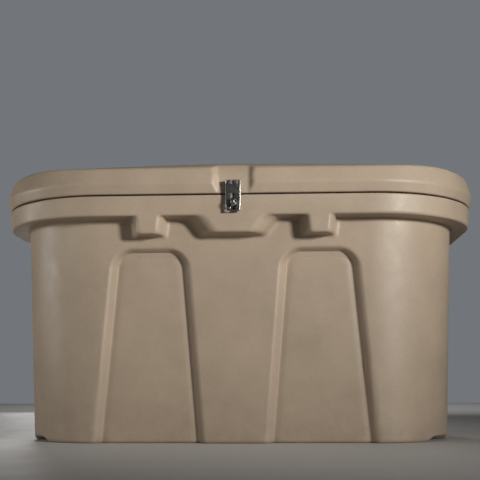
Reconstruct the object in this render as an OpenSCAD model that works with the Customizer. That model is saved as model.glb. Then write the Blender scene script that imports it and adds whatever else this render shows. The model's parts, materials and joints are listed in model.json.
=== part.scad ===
// Large lidded outdoor storage chest, rotationally moulded: a tapered tub with a stepped rim,
// a hollow lid on a full-length rear hinge, a lockable hasp, two gas struts and a drain.
// Frame: millimetres, +Z up, front faces -Y, origin on the floor under the middle of the chest.

/* [Tub] */
// Width over the rim
rim_w = 1212; // [1190:1:1230]
// Depth over the rim, front face to back face
rim_d = 610; // [600:1:630]
// Height of the rim's top edge above the floor
rim_top = 583; // [570:1:600]
// Height of the rim's outer face
rim_h = 49; // [46:1:54]
// How far the rim stands out from the wall below it
rim_out = 51; // [48:1:54]
// How far the rim's face leans in towards its lower edge
rim_lean = 3; // [2:0.5:4]
// How far each wall leans in between the rim and the floor
wall_lean = 24; // [20:1:28]
// Moulded wall thickness
wall = 6.5; // [6:0.5:7]
// Plan radius of the front corners, over the rim
front_r = 280; // [260:1:290]
// Plan radius of the rear corners, over the rim
rear_r = 120; // [110:1:130]

/* [Front details] */
// Distance of each sunk panel and each rim tab from the middle
bay_x = 205; // [200:1:210]
// Depth of the two sunk front panels
panel_depth = 18; // [14:1:20]
// Height of the panels' top edge above the floor
panel_top = 463; // [450:1:468]
// Half width of a panel at the floor
panel_half_floor = 130; // [120:1:132]
// Half width of a panel at its top edge
panel_half_top = 90; // [85:1:95]
// Height of the underfloor channels
channel_h = 12; // [8:1:14]

/* [Lid] */
// Gap between the rim and the lid, closed by the weather seal
seam = 3.5; // [3:0.5:4]
// Height of the lid's side from the seam to its upper edge
lid_side = 63; // [60:1:68]
// Rise of the crown above the lid's upper edge
crown = 40; // [30:1:45]
// How far the lid's bulge stands out past the rim
bulge = 8; // [6:0.5:9]
// Thickness of the lid's outer skin
skin = 6; // [5:0.5:7]
// How far the lid opens, in degrees
lid_open = 82; // [75:1:85]

/* [Hinge] */
// Length of the continuous hinge
hinge_len = 840; // [700:70:840]
// Number of knuckles, counting both leaves
knuckles = 24; // [20:2:28]
// Outer radius of a knuckle
knuckle_r = 4.5; // [4:0.1:5]
// Radius of the hinge pin
pin_r = 2; // [1.8:0.1:2.2]

/* [Hasp] */
// Width of the hasp's swinging arm
hasp_w = 36; // [34:1:38]
// Height of the hasp's pin above the floor
hasp_pin_z = 614; // [612:1:616]
// Height of the turning eye's axis above the floor
eye_z = 562; // [560:1:564]

/* [Gas struts] */
// Distance of each strut from the middle of the chest
strut_x = 500; // [490:1:505]
// Lower pivot: forward of the hinge axis
strut_low_u = 140; // [136:1:150]
// Lower pivot: below the hinge axis
strut_low_v = 205; // [200:1:220]
// Upper pivot: forward of the hinge axis
strut_top_u = 85; // [80:1:90]
// Upper pivot: below the hinge axis
strut_top_v = 16; // [15:1:18]

/* [Drain] */
// Distance of the drain behind the middle of the chest
drain_y = 136; // [110:1:140]
// Height of the drain's axis above the floor
drain_z = 46; // [44:1:60]

/* [Hidden] */
$fn = 48;

tan_plastic = [0.60, 0.53, 0.45];
steel = [0.72, 0.73, 0.74];
black = [0.06, 0.06, 0.065];
foam_white = [0.88, 0.88, 0.84];

half = rim_w / 2;
front = -298;                       // the rim's front face; the hasp stands in front of it
back = front + rim_d;               // the rim's back face; the hinge stands behind it
mid_y = (front + back) / 2;
rim_bottom = rim_top - rim_h;
lid_z = rim_top + seam;             // underside of the lid
edge_z = lid_z + lid_side;          // where the lid's side turns over into its crown
corner_steps = 12;
straight_steps = 6;                 // pieces that the long straight edges are cut into
wall_r = front_r - rim_out;         // the wall keeps one corner radius from floor to rim
wall_rear_r = rear_r - rim_out;
lean_angle = atan(wall_lean / rim_bottom);
rim_angle = atan(rim_lean / rim_h);
small = 0.01;

hinge_y = back + knuckle_r + 0.4;
hinge_z = rim_top + seam / 2;

// ---------------------------------------------------------------- shared shapes

// A quarter circle of plan points, counter-clockwise from angle a0.
function corner(cx, cy, r, a0) =
    [for (i = [0:corner_steps]) let (a = a0 + 90 * i / corner_steps) [cx + r * cos(a), cy + r * sin(a)]];

// The points between the ends of a straight edge that runs from x to -x.
function between(x, y) = [for (i = [1:straight_steps - 1]) [x * (1 - 2 * i / straight_steps), y]];

// The chest's plan outline, moved in by `inset` from the rim; the back can have its own inset.
function outline(inset, rf, rr, rear_inset) =
    let (x = half - inset, f = front + inset, b = back - rear_inset)
    concat(corner(x - rf, f + rf, rf, -90), corner(x - rr, b - rr, rr, 0), between(x - rr, b),
           corner(rr - x, b - rr, rr, 90), corner(rf - x, f + rf, rf, 180), between(rf - x, f));

function ring(z, inset, rf, rr, rear_inset) =
    [for (p = outline(inset, rf, rr, rear_inset)) [p.x, p.y, z]];

// A ring around the rim or the lid, whose corner radii shrink with the inset.
function rim_ring(z, inset, rear_inset) =
    ring(z, inset, max(front_r - inset, 12), max(rear_r - max(inset, rear_inset), 12), rear_inset);

// A ring around the wall below the rim; `t` moves it in by the wall's thickness.
function wall_ring(z, t) =
    let (inset = rim_out + wall_lean * (1 - z / rim_bottom) + t)
    ring(z, inset, wall_r - t, wall_rear_r - t, inset);

// A closed solid through a stack of rings with the same number of points. The caps are strips
// from the front half of the ring to the back half, so a curved cap follows the crown.
module loft(rings) {
    n = len(rings[0]);
    c = corner_steps + 1;
    m = straight_steps - 1;
    last = (len(rings) - 1) * n;
    fore = concat([for (i = [c - 1:-1:0]) i], [for (i = [n - 1:-1:3 * c + m]) i]);
    aft = [for (i = [0:2 * c + m - 1]) c + i];
    polyhedron(
        points = [for (r = rings) each r],
        faces = concat(
            [for (k = [0:len(rings) - 2], i = [0:n - 1]) let (j = (i + 1) % n)
                each [[k * n + i, (k + 1) * n + i, (k + 1) * n + j],
                      [k * n + i, (k + 1) * n + j, k * n + j]]],
            [for (j = [0:2 * c + m - 2]) each [[fore[j], aft[j + 1], fore[j + 1]],
                                           [fore[j], aft[j], aft[j + 1]]]],
            [for (j = [0:2 * c + m - 2]) each [[last + fore[j], last + fore[j + 1], last + aft[j + 1]],
                                           [last + fore[j], last + aft[j + 1], last + aft[j]]]]));
}

// Local frame on the front wall: x across, y up the wall, z straight out of it.
module on_front_wall() {
    translate([0, front + rim_out + wall_lean, 0]) rotate([90 + lean_angle, 0, 0]) children();
}

// Local frame on the rim's front face at height z.
module on_rim_face(z) {
    translate([0, front + (rim_top - z) * tan(rim_angle), z]) rotate([90 + rim_angle, 0, 0]) children();
}

// Local frame on the right-hand end wall at height z: z straight out of the wall.
module on_end_wall(y, z) {
    translate([half - rim_out - wall_lean * (1 - z / rim_bottom), y, z])
        rotate([0, 90 + lean_angle, 0]) children();
}

module pan_head_screw(r, length) {
    rotate_extrude($fn = 24)
        polygon([[0, -length], [r * 0.55, -length], [r, -length + 1.5 * r], [r, -0.01], [r, 0],
                 [r * 1.9, 0], [r * 1.9, r * 0.5], [r * 1.3, r * 1.0], [0, r * 1.15]]);
}

// ---------------------------------------------------------------- tub

module panel_plate(grow, top_grow, corner_r) {
    half_top = panel_half_top + grow;
    linear_extrude(small) hull() {
        translate([-(panel_half_floor + grow + 2), -20]) square([2 * (panel_half_floor + grow + 2), 1]);
        for (s = [-1, 1])
            translate([s * (half_top - corner_r), panel_top + top_grow - corner_r])
                circle(corner_r, $fn = 40);
    }
}

// A sunk panel with sloping sides. `t` grows it by the wall's thickness for the inner skin.
module sunk_panel(t) {
    for (s = [-1, 1])
        on_front_wall() translate([s * bay_x, 0, 0]) hull() {
            translate([0, 0, 2]) panel_plate(1.6 + t, 0.5 + t, 49 + t);
            translate([0, 0, -panel_depth - t]) panel_plate(-15 + t, -5 + t, 36 + t);
        }
}

// A tab that hangs from the rim against the wall, with splayed sides. `t` hollows it.
module rim_tab(half_top, half_low, drop, splay, t) {
    // The hollow also reaches up into the rim, so its widths are carried on above the rim's edge.
    rise = wall + 6;
    top_w = half_top + (half_top - half_low) * rise / drop - t;
    low_w = half_low - t;
    hull() {
        translate([0, front + rim_lean + t, 0]) rotate([90, 0, 0]) linear_extrude(small)
            polygon([[-top_w, rim_bottom + rise], [top_w, rim_bottom + rise],
                     [low_w, rim_bottom - drop + t], [-low_w, rim_bottom - drop + t]]);
        translate([0, front + rim_out + t, 0]) rotate([90, 0, 0]) linear_extrude(small)
            polygon([[-top_w - splay, rim_bottom + rise], [top_w + splay, rim_bottom + rise],
                     [low_w + splay, rim_bottom - drop + t - 3],
                     [-low_w - splay, rim_bottom - drop + t - 3]]);
    }
}

// Two tabs over the sunk panels, and the wide landing under the hasp.
module rim_tabs(t) {
    for (s = [-1, 1])
        translate([s * bay_x, 0, 0]) rim_tab(half_top = 26.5, half_low = 21, drop = 43, splay = 17, t = t);
    rim_tab(half_top = 70, half_low = 38, drop = 40, splay = 38, t = t);
}

// Channels along the whole underside, seen as low arches at the ends.
channel_y = 103;                    // from the middle of the floor to the middle of a channel
channel_low = 58;                   // half widths of a channel at the floor and at its top
channel_high = 46;
module floor_channels(t) {
    for (s = [-1, 1])
        translate([0, mid_y + s * channel_y, 0]) hull() {
            translate([-half, -channel_low - t, -1])
                cube([2 * half, 2 * (channel_low + t), small]);
            translate([-half, -channel_high - t, channel_h + t])
                cube([2 * half, 2 * (channel_high + t), small]);
        }
}

module tub_outside() {
    round_r = 6;
    loft([
        wall_ring(0, round_r), wall_ring(round_r * 0.3, round_r * 0.3), wall_ring(round_r, 0),
        wall_ring(rim_bottom, 0),
        rim_ring(rim_bottom, rim_lean + 4, 4), rim_ring(rim_bottom + 1, rim_lean + 1.2, 1.2),
        rim_ring(rim_bottom + 4, rim_lean, 0),
        rim_ring(rim_top - 3, 0.2, 0), rim_ring(rim_top - 0.8, 1, 0.8), rim_ring(rim_top, 3, 3)
    ]);
}

module tub_inside() {
    flange = 30;                    // how far the rim's top flange reaches in
    loft([
        wall_ring(wall, wall + 10), wall_ring(wall + 3, wall + 3), wall_ring(wall + 10, wall),
        wall_ring(rim_bottom + wall, wall),
        rim_ring(rim_bottom + wall, rim_lean + wall + 2, wall + 2),
        rim_ring(rim_bottom + wall + 3, rim_lean + wall, wall),
        rim_ring(rim_top - wall, wall, wall), rim_ring(rim_top - wall, flange, flange),
        rim_ring(rim_top + 5, flange, flange)
    ]);
}

module tub() {
    color(tan_plastic) difference() {
        union() {
            difference() {
                tub_outside();
                sunk_panel(0);
                floor_channels(0);
            }
            rim_tabs(0);
        }
        difference() {
            union() {
                tub_inside();
                rim_tabs(wall);
            }
            sunk_panel(wall);
            floor_channels(wall);
        }
        on_end_wall(drain_y, drain_z) cylinder(r = drain_barrel_r + 0.2, h = 60, center = true);
    }
}

// ---------------------------------------------------------------- weather seal

module weather_seal() {
    inner = 24;
    outer = 12;
    clearance = 0.3;
    color(black) translate([0, 0, rim_top]) linear_extrude(seam - clearance) difference() {
        polygon(outline(outer, front_r - outer, rear_r - outer, outer));
        polygon(outline(inner, front_r - inner, rear_r - inner, inner));
    }
}

// ---------------------------------------------------------------- lid

// Height of the crown: highest in the middle, falling a little to the ends and quickly at the edges.
function crown_z(x, y) =
    edge_z + crown * (1 - pow(x / (half + 10), 2)) * (1 - pow(abs(y - mid_y) / (rim_d / 2), 4));

function crown_ring(inset, drop) =
    [for (p = outline(inset, max(front_r - inset, 12), max(rear_r - inset, 12), inset))
        [p.x, p.y, crown_z(p.x, p.y) - drop]];

// The lid's sides swell up to this height and draw in again above it; the back stays flat.
vertex_z = lid_z + 25;
function lid_side_rings(t) = [
    rim_ring(lid_z + 2, t, t),
    rim_ring(vertex_z - 6, t - bulge + 1, t),
    rim_ring(vertex_z, t - bulge, t),
    rim_ring(vertex_z + 6, t - bulge + 1.2, t),
    rim_ring(edge_z - 12 - t * 0.5, t, t),
    rim_ring(edge_z - 4 - t * 0.8, t + 4, t + 4)
];

function crown_rings(t) = [for (inset = [14, 30, 60, 105, 165, 235, 290]) crown_ring(inset + t * 0.7, t)];

// Local frame on the floor of the hasp's pocket in the lid's front.
pocket_lean = 5.7;
module on_pocket() {
    translate([0, front + 1, lid_z]) rotate([90 - pocket_lean, 0, 0]) children();
}

module hasp_pocket(t) {
    floor_half = 38 + t * 0.7;
    mouth_half = floor_half + 24;
    mouth_out = 22;
    length = 130;
    on_pocket() hull() {
        translate([-floor_half, -20, -t]) cube([2 * floor_half, length, small]);
        translate([-mouth_half, -20, mouth_out - t]) cube([2 * mouth_half, length, small]);
    }
}

module lid_shell() {
    color(tan_plastic) difference() {
        loft(concat([rim_ring(lid_z, 2, 2)], lid_side_rings(0), crown_rings(0)));
        hasp_pocket(0);
        difference() {
            loft(concat([rim_ring(lid_z - 5, skin + 1, skin + 1)],
                        lid_side_rings(skin), crown_rings(skin)));
            hasp_pocket(skin);
        }
    }
}

// The inner skin closes the lid from below; its lip hangs inside the rim's flange.
liner_z = lid_z + 0.5;
module lid_liner() {
    edge = skin + 1.6;
    lip_out = 33;
    lip_in = 39;
    color(tan_plastic) union() {
        difference() {
            translate([0, 0, liner_z]) linear_extrude(6)
                polygon(outline(edge, front_r - edge, rear_r - edge, edge));
            on_pocket() translate([-46, -20, -skin - 0.7]) cube([92, 60, 40]);
        }
        translate([0, 0, liner_z - 15]) linear_extrude(17) difference() {
            polygon(outline(lip_out, front_r - lip_out, rear_r - lip_out, lip_out));
            polygon(outline(lip_in, front_r - lip_in, rear_r - lip_in, lip_in));
        }
    }
}

// A light foam slab stiffens the lid between its two skins.
module lid_core() {
    gap = 0.6;
    bottom = liner_z + 6.2;
    color(foam_white) difference() {
        loft(concat(
            [rim_ring(bottom, 12, 22), rim_ring(vertex_z, 10, 22), rim_ring(edge_z - 24, 14, 22)],
            [for (inset = [30, 60, 105, 165, 235, 288]) crown_ring(inset + 6, skin + gap)]));
        translate([-70, front, bottom - 1]) cube([140, 40, lid_side + crown]);
    }
}

// ---------------------------------------------------------------- hinge

knuckle_len = hinge_len / knuckles;
leaf_t = 1.5;
leaf_h = 34;
screw_count = 12;
screw_pitch = hinge_len / screw_count;

// Every second knuckle with the stretch of plate that joins it to the leaf. `up` is 1 on the lid.
module hinge_leaf(first, up) {
    gap = 0.3;
    difference() {
        union() {
            translate([-hinge_len / 2, back, up > 0 ? hinge_z + knuckle_r + 0.5 : hinge_z - leaf_h])
                cube([hinge_len, leaf_t, leaf_h - knuckle_r - 0.5]);
            for (i = [first:2:knuckles - 1])
                translate([-hinge_len / 2 + i * knuckle_len + gap, 0, 0]) {
                    translate([0, hinge_y, hinge_z]) rotate([0, 90, 0])
                        cylinder(r = knuckle_r, h = knuckle_len - 2 * gap);
                    translate([0, back + 0.4, up > 0 ? hinge_z : hinge_z - knuckle_r - 1])
                        cube([knuckle_len - 2 * gap, leaf_t - 0.4, knuckle_r + 1]);
                }
        }
        translate([-hinge_len / 2 - 1, hinge_y, hinge_z]) rotate([0, 90, 0])
            cylinder(r = pin_r + 0.05, h = hinge_len + 2);
    }
}

module hinge_tub_leaf() {
    color(steel) hinge_leaf(0, -1);
}

module hinge_lid_leaf() {
    color(steel) hinge_leaf(1, 1);
}

module hinge_pin() {
    head = 1.2;
    color(steel) translate([-hinge_len / 2, hinge_y, hinge_z]) rotate([0, 90, 0]) {
        cylinder(r = pin_r, h = hinge_len);
        translate([0, 0, -head]) cylinder(r = pin_r + 1, h = head);
        translate([0, 0, hinge_len]) cylinder(r = pin_r + 1, h = head);
    }
}

module hinge_screws(z) {
    for (i = [0:screw_count - 1])
        translate([-hinge_len / 2 + (i + 0.5) * screw_pitch, back + leaf_t, z]) rotate([-90, 0, 0])
            pan_head_screw(2.1, leaf_t + 9);
}

module hinge_tub_screws() {
    color(steel) hinge_screws(hinge_z - leaf_h * 0.58);
}

module hinge_lid_screws() {
    color(steel) hinge_screws(hinge_z + leaf_h * 0.58);
}

// ---------------------------------------------------------------- hasp

hasp_pin_y = front - 4.5;
hasp_pin_r = 1.6;
hasp_knuckle_r = 3.6;
arm_t = 1.8;
arm_face = hasp_pin_y - 7.5;        // the arm's outer face
arm_bottom = eye_z - 21;
leaf_half = hasp_w / 2 - 3;

// Along the pin, the outer and middle knuckles belong to the leaf and the other two to the arm.
hasp_cuts = [-leaf_half, -12, -2.2, 2.2, 12, leaf_half];
knuckle_gap = 0.2;
module hasp_knuckle(i) {
    translate([hasp_cuts[i] + knuckle_gap, hasp_pin_y, hasp_pin_z]) rotate([0, 90, 0])
        cylinder(r = hasp_knuckle_r, h = hasp_cuts[i + 1] - hasp_cuts[i] - 2 * knuckle_gap, $fn = 32);
}

module hasp_pin_bore() {
    translate([-hasp_w, hasp_pin_y, hasp_pin_z]) rotate([0, 90, 0])
        cylinder(r = hasp_pin_r + 0.05, h = 2 * hasp_w, $fn = 32);
}

// The leaf's plate ends below the pin, clear of the raised arm; short risers carry its knuckles.
hasp_plate_low = 3;
hasp_plate_h = 20;
hasp_plate_t = 2;
module hasp_leaf() {
    riser_h = 4.8;
    riser_out = 6;
    color(steel) difference() {
        union() {
            on_pocket() translate([-leaf_half, hasp_plate_low, 0])
                cube([2 * leaf_half, hasp_plate_h, hasp_plate_t]);
            for (i = [0, 2, 4]) {
                hasp_knuckle(i);
                on_pocket() translate([hasp_cuts[i] + knuckle_gap, hasp_plate_h, 0.5])
                    cube([hasp_cuts[i + 1] - hasp_cuts[i] - 2 * knuckle_gap, riser_h, riser_out]);
            }
        }
        hasp_pin_bore();
    }
}

module hasp_pin() {
    color(steel) translate([-leaf_half - 0.9, hasp_pin_y, hasp_pin_z]) rotate([0, 90, 0])
        cylinder(r = hasp_pin_r, h = 2 * leaf_half + 1.8, $fn = 32);
}

// The keyhole is wide at the bottom, lets the eye turn in its middle, and ends in a slit.
module arm_keyhole() {
    holes = [[-9, 10], [-0.8, 8.2], [5.5, 5.5]];    // height above the eye's axis, radius
    slit_w = 3.6;
    slit_top = 21;
    for (hole = holes)
        translate([0, arm_face - 1, eye_z + hole[0]]) rotate([-90, 0, 0]) cylinder(r = hole[1], h = 6);
    translate([-slit_w / 2, arm_face - 1, eye_z]) cube([slit_w, 6, slit_top]);
}

// The arm is a channel: a front plate with side flanges, two knuckles and a keyhole for the eye.
module hasp_arm() {
    flange = 8.6;
    arm_top = hasp_pin_z + 1.5;
    arm_h = arm_top - arm_bottom;
    color(steel) difference() {
        union() {
            translate([-hasp_w / 2, arm_face, arm_bottom]) cube([hasp_w, arm_t, arm_h]);
            for (x = [-hasp_w / 2, hasp_w / 2 - arm_t])
                translate([x, arm_face, arm_bottom + 3]) cube([arm_t, flange, arm_h - 7.5]);
            for (i = [1, 3]) {
                hasp_knuckle(i);
                translate([hasp_cuts[i] + knuckle_gap, arm_face + 0.5, hasp_pin_z - 2])
                    cube([hasp_cuts[i + 1] - hasp_cuts[i] - 2 * knuckle_gap, 7, 3.5]);
            }
        }
        hasp_pin_bore();
        arm_keyhole();
    }
}

hasp_screw_x = 8;
hasp_screw_up = 14;
module hasp_screws() {
    color(steel) for (x = [-hasp_screw_x, hasp_screw_x])
        on_pocket() translate([x, hasp_screw_up, hasp_plate_t]) pan_head_screw(1.6, 12);
}

module hasp_backing_plate() {
    color(steel) difference() {
        on_pocket() translate([-20, 8.5, -skin - 2.3]) cube([40, 20, 2]);
        for (x = [-hasp_screw_x, hasp_screw_x])
            on_pocket() translate([x, hasp_screw_up, -20]) cylinder(r = 1.7, h = 30, $fn = 24);
    }
}

// ---------------------------------------------------------------- turning eye

plate_t = 3;
staple_w = 28;
staple_h = 30;
staple_screw_x = 9.5;
staple_screw_y = 11;
eye_stem_r = 3.25;
eye_head_r = 5;
// The plate holds the head of the eye's stem in a shallow recess against the rim.
module staple_plate() {
    color(steel) on_rim_face(eye_z) difference() {
        translate([-staple_w / 2, -staple_h / 2, 0]) cube([staple_w, staple_h, plate_t]);
        translate([0, 0, -1]) cylinder(r = eye_stem_r + 0.05, h = plate_t + 2);
        translate([0, 0, -1]) cylinder(r = eye_head_r + 0.3, h = 2.4);
    }
}

module staple_screws() {
    color(steel) for (x = [-staple_screw_x, staple_screw_x], y = [-staple_screw_y, staple_screw_y])
        on_rim_face(eye_z) translate([x, y, plate_t]) pan_head_screw(1.5, plate_t + wall + 3.5);
}

module staple_backing_plate() {
    color(steel) difference() {
        on_rim_face(eye_z) translate([-22, -15, -wall - 3]) cube([44, 26, 2]);
        for (x = [-staple_screw_x, staple_screw_x], y = [-staple_screw_y, staple_screw_y])
            on_rim_face(eye_z) translate([x, y, -15]) cylinder(r = 1.6, h = 20, $fn = 24);
    }
}

eye_r = 7.2;
eye_wire = 2.8;
eye_flat = 2;                       // half of the flat stretch that makes the eye's ring broad
eye_reach = 20;                     // from the rim's face to the middle of the eye
module staple_eye() {
    color(steel) on_rim_face(eye_z) union() {
        translate([0, 0, 0.1]) cylinder(r = eye_head_r, h = 1);
        translate([0, 0, 0.1]) cylinder(r = eye_stem_r, h = plate_t + 1);
        translate([0, 0, plate_t + 0.1]) cylinder(r = 6.4, h = 2.2);
        translate([0, 0, plate_t + 2]) cylinder(r1 = 4.6, r2 = 3.4, h = eye_reach - eye_r - plate_t - 2);
        translate([0, 0, eye_reach]) rotate([0, 90, 0]) rotate_extrude() translate([eye_r, 0]) {
            for (y = [-eye_flat, eye_flat]) translate([0, y]) circle(eye_wire, $fn = 24);
            square([2 * eye_wire, 2 * eye_flat], center = true);
        }
    }
}

// ---------------------------------------------------------------- drain

drain_barrel_r = 13;
drain_bore_r = 9;
drain_flange_r = 22;
drain_inside = wall + 14;           // how far the barrel reaches in from the wall's outer face
module drain_bushing() {
    color(black) on_end_wall(drain_y, drain_z) rotate_extrude()
        polygon([[drain_bore_r, -drain_inside], [drain_barrel_r, -drain_inside], [drain_barrel_r, 2],
                 [drain_flange_r, 2], [drain_flange_r, 5], [drain_flange_r - 2, 7],
                 [drain_bore_r + 1, 7], [drain_bore_r, 6]]);
}

module drain_gasket() {
    color(black) on_end_wall(drain_y, drain_z) rotate_extrude()
        polygon([[drain_barrel_r + 0.3, 0.05], [drain_flange_r - 1, 0.05],
                 [drain_flange_r - 1, 1.95], [drain_barrel_r + 0.3, 1.95]]);
}

module drain_nut() {
    color(black) on_end_wall(drain_y, drain_z) translate([0, 0, -wall - 8.1]) difference() {
        cylinder(r = 21, h = 8, $fn = 6);
        translate([0, 0, -1]) cylinder(r = drain_barrel_r + 0.1, h = 10);
    }
}

module drain_plug() {
    color(black) on_end_wall(drain_y, drain_z) union() {
        translate([0, 0, -wall - 4]) cylinder(r = drain_bore_r - 1.5, h = wall + 11.3);
        translate([0, 0, 7.3]) cylinder(r1 = 15, r2 = 14, h = 4);
        translate([-4, -13, 11]) cube([8, 26, 12]);
    }
}

module drain_plug_seal() {
    color(black) on_end_wall(drain_y, drain_z) translate([0, 0, -1]) rotate_extrude()
        polygon([[drain_bore_r - 1.45, 0], [drain_bore_r - 0.3, 0], [drain_bore_r - 0.3, 3],
                 [drain_bore_r - 1.45, 3]]);
}

// ---------------------------------------------------------------- gas struts

low_y = hinge_y - strut_low_u;
low_z = hinge_z - strut_low_v;
top_y = hinge_y - strut_top_u;
top_z = hinge_z - strut_top_v;
strut_len = norm([top_y - low_y, top_z - low_z]);
strut_tilt = atan((top_y - low_y) / (top_z - low_z));
// Length with the lid fully open, from the upper pivot turned about the hinge.
open_u = strut_top_u * cos(lid_open) + strut_top_v * sin(lid_open);
open_v = strut_top_u * sin(lid_open) - strut_top_v * cos(lid_open);
strut_stroke = norm([strut_low_u - open_u, strut_low_v + open_v]) - strut_len;
tube_start = 13;
tube_len = strut_stroke + 25;
rod_r = 4;
tube_r = 9;
end_w = 14;                         // width of a strut's end fitting along the pivot

// Local frame along a strut: z from the lower pivot to the upper one.
module on_strut(side) {
    translate([side * strut_x, low_y, low_z]) rotate([-strut_tilt, 0, 0]) children();
}

module strut_cylinder(side) {
    color(black) on_strut(side) translate([0, 0, tube_start]) rotate_extrude()
        polygon([[0, 0], [tube_r, 0], [tube_r, tube_len], [rod_r + 0.05, tube_len],
                 [rod_r + 0.05, tube_len - 8], [tube_r - 1, tube_len - 8], [tube_r - 1, 3], [0, 3]]);
}

module strut_rod(side) {
    color(steel) on_strut(side) union() {
        translate([0, 0, tube_start + 4]) cylinder(r = tube_r - 1.1, h = 9);
        translate([0, 0, tube_start + 12]) cylinder(r = rod_r, h = strut_len - tube_start - 12 - 11);
    }
}

// A moulded end with a round eye; the lower one turns on the anchor's stud.
module strut_end(bore) {
    difference() {
        union() {
            rotate([0, 90, 0]) cylinder(r = 9, h = end_w, center = true);
            translate([0, 0, 6.5]) cylinder(r = 6.5, h = 13, center = true);
        }
        if (bore) rotate([0, 90, 0]) cylinder(r = stud_r + 0.05, h = end_w + 2, center = true);
    }
}

stud_r = 4;
module strut_lower_end(side) {
    color(black) on_strut(side) strut_end(true);
}

module strut_upper_end(side) {
    color(black) on_strut(side) translate([0, 0, strut_len]) rotate([180, 0, 0]) difference() {
        strut_end(false);
        translate([0, 0, 11]) cylinder(r = 7, h = 5);
    }
}

// The anchor plate lies on the end wall's inner face; its stud carries the strut's lower end.
anchor_h = 64;
anchor_w = 20;
anchor_t = 3;
anchor_gap = 0.3;
anchor_screw_up = 23;
anchor_x = half - rim_out - wall_lean * (1 - low_z / rim_bottom) - wall / cos(lean_angle);
module on_inner_wall(side) {
    translate([side * anchor_x, low_y, low_z]) rotate([0, -side * (90 - lean_angle), 0]) children();
}

module strut_anchor(side) {
    root = anchor_x - 1.8;
    tip = strut_x - end_w / 2 - 3.2;
    shoulder = strut_x + end_w / 2 + 0.4;
    color(steel) union() {
        on_inner_wall(side) translate([-anchor_h / 2, -anchor_w / 2, anchor_gap])
            cube([anchor_h, anchor_w, anchor_t]);
        translate([side * root, low_y, low_z]) rotate([0, -side * 90, 0]) {
            cylinder(r = stud_r, h = root - tip);
            cylinder(r = 8, h = root - shoulder);
        }
    }
}

module strut_anchor_screws() {
    color(steel) for (side = [-1, 1], x = [-anchor_screw_up, anchor_screw_up])
        on_inner_wall(side) translate([x, 0, anchor_gap + anchor_t]) pan_head_screw(2.4, 8.7);
}

// A spring clip on the stud's tip keeps the strut's lower end on.
module strut_clip(side) {
    x = side * (strut_x - end_w / 2 - 1.6);
    color(steel) translate([x, low_y, low_z]) rotate([0, 90, 0]) difference() {
        cylinder(r = 7, h = 1.4, center = true);
        cylinder(r = stud_r + 0.05, h = 3, center = true);
    }
}

// The bracket hangs from the lid's liner; its stud stops just short of the strut's upper end.
bracket_t = 2.5;
bracket_w = 24;
bracket_d = 36;
bracket_x = strut_x + end_w / 2 + 14;
bracket_z = liner_z - bracket_t - 0.05;
module strut_lid_bracket(side) {
    ear_x = strut_x + end_w / 2 + 5;
    color(steel) union() {
        translate([side * bracket_x - bracket_w / 2, top_y - bracket_d / 2, bracket_z])
            cube([bracket_w, bracket_d, bracket_t]);
        translate([side > 0 ? ear_x : -ear_x - bracket_t, top_y - 12, top_z - 10])
            cube([bracket_t, 24, liner_z - top_z + 9]);
        translate([side > 0 ? ear_x - 4.6 : -ear_x, top_y, top_z]) rotate([0, 90, 0])
            cylinder(r = stud_r, h = 4.6);
    }
}

module strut_bracket_screws() {
    color(steel) for (side = [-1, 1], y = [-13, 13])
        translate([side * (bracket_x + 2), top_y + y, bracket_z]) rotate([180, 0, 0])
            pan_head_screw(2.2, bracket_t + 5);
}

// ---------------------------------------------------------------- nodes

tub();
weather_seal();
hinge_tub_leaf();
hinge_lid_leaf();
hinge_pin();
hinge_tub_screws();
hinge_lid_screws();
lid_shell();
lid_liner();
lid_core();
hasp_leaf();
hasp_pin();
hasp_arm();
hasp_screws();
hasp_backing_plate();
staple_plate();
staple_screws();
staple_backing_plate();
staple_eye();
drain_bushing();
drain_gasket();
drain_nut();
drain_plug();
drain_plug_seal();
strut_anchor(-1);  // strut_anchor_left
strut_anchor(1);  // strut_anchor_right
strut_anchor_screws();
strut_clip(-1);  // strut_clip_left
strut_clip(1);  // strut_clip_right
strut_cylinder(-1);  // strut_cylinder_left
strut_cylinder(1);  // strut_cylinder_right
strut_lower_end(-1);  // strut_lower_end_left
strut_lower_end(1);  // strut_lower_end_right
strut_rod(-1);  // strut_rod_left
strut_rod(1);  // strut_rod_right
strut_upper_end(-1);  // strut_upper_end_left
strut_upper_end(1);  // strut_upper_end_right
strut_lid_bracket(-1);  // strut_lid_bracket_left
strut_lid_bracket(1);  // strut_lid_bracket_right
strut_bracket_screws();
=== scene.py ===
"""A tan moulded dock box with stainless hardware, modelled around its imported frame.

The tub and the lid are smooth moulded skins: rays are cast onto a solid that is described by formulas,
so every corner, step and sunk panel gets the soft fillets of rotational moulding. Lengths are in metres.
"""
import json
import math

import bmesh
import bpy
import numpy as np
from mathutils import Matrix, Vector


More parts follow.
